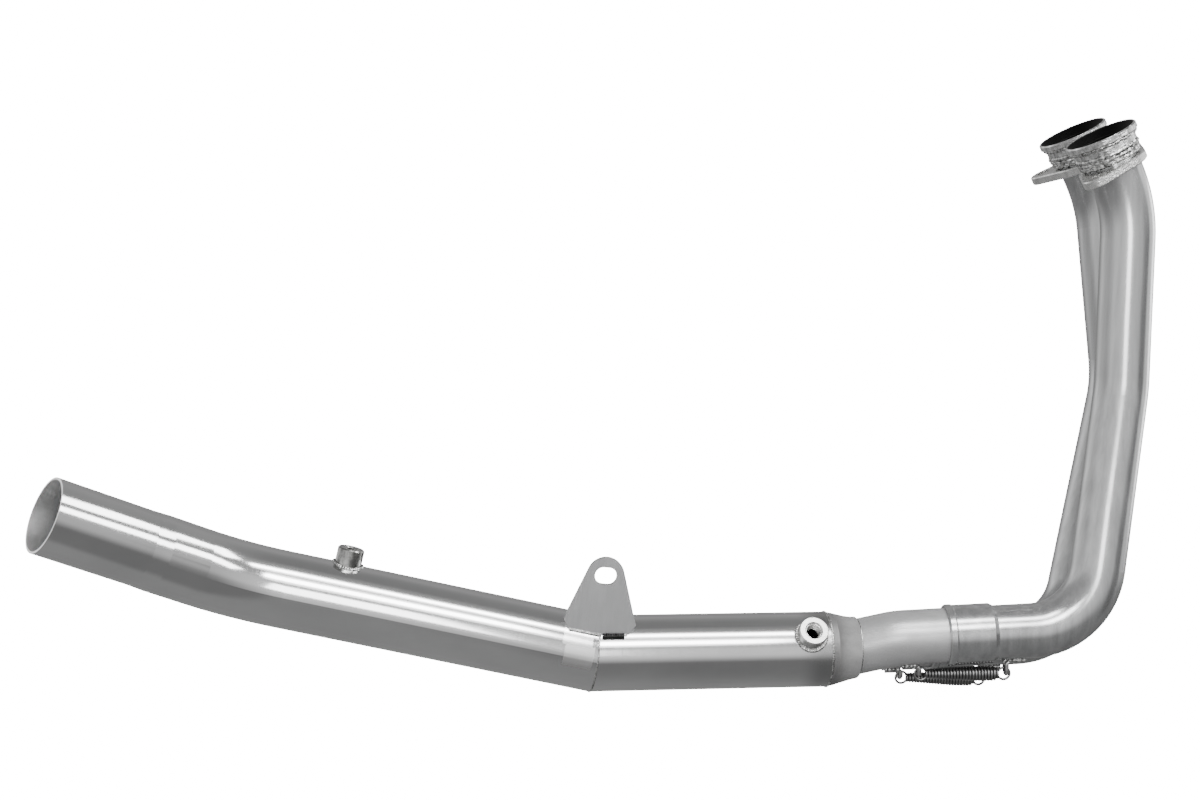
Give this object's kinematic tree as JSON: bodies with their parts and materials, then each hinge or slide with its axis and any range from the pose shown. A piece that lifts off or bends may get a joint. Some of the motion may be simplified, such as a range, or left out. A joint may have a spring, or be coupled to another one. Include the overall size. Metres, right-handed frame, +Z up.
{
  "type": "motorcycle exhaust header",
  "caption": "Two-into-one motorcycle exhaust header in bare stainless steel: bent header pipes with loose flanges, sprung slip joints, a merging collector and a link pipe for the silencer.",
  "frame": {"origin": "middle of the rim of the near (right-hand) port ring, on its axis", "axes": "+X towards the front of the motorcycle, +Y towards its left side, +Z up"},
  "size_m": [0.7665, 0.3023, 0.4027],
  "materials": {
    "brushed_tube": "satin-polished stainless tube",
    "welded_steel": "formed and welded stainless sheet",
    "machined_steel": "turned stainless steel",
    "plated_flange": "cut and tumbled stainless plate",
    "sheet_steel": "brushed stainless sheet",
    "bright_wire": "bright stainless wire",
    "spring_wire": "drawn spring wire"
  },
  "bodies": {
    "header": {"near_port_ring": "machined_steel", "far_port_ring": "machined_steel", "near_header_pipe": "brushed_tube", "far_header_pipe": "brushed_tube", "near_inlet": "brushed_tube", "far_inlet": "brushed_tube", "collector_neck": "welded_steel", "link_front": "brushed_tube", "link_rear": "brushed_tube", "hanger_bracket": "sheet_steel", "sensor_boss": "machined_steel", "rear_boss": "machined_steel", "near_rear_lug": "bright_wire", "near_front_lug": "bright_wire", "far_rear_lug": "bright_wire", "far_front_lug": "bright_wire", "near_spring": "spring_wire", "far_spring": "spring_wire"},
    "near_plate": {"near_flange": "plated_flange"},
    "far_plate": {"far_flange": "plated_flange"}
  },
  "joints": [
    {"name": "near_flange_swivel", "type": "hinge", "parent": "header", "child": "near_plate", "pos_m": [0.00928, 0.00142, -0.0199], "axis": [-0.4217, -0.0645, 0.9044], "continuous": true},
    {"name": "far_flange_swivel", "type": "hinge", "parent": "header", "child": "far_plate", "pos_m": [0.00928, 0.09142, -0.0199], "axis": [-0.4217, -0.0645, 0.9044], "continuous": true}
  ]
}
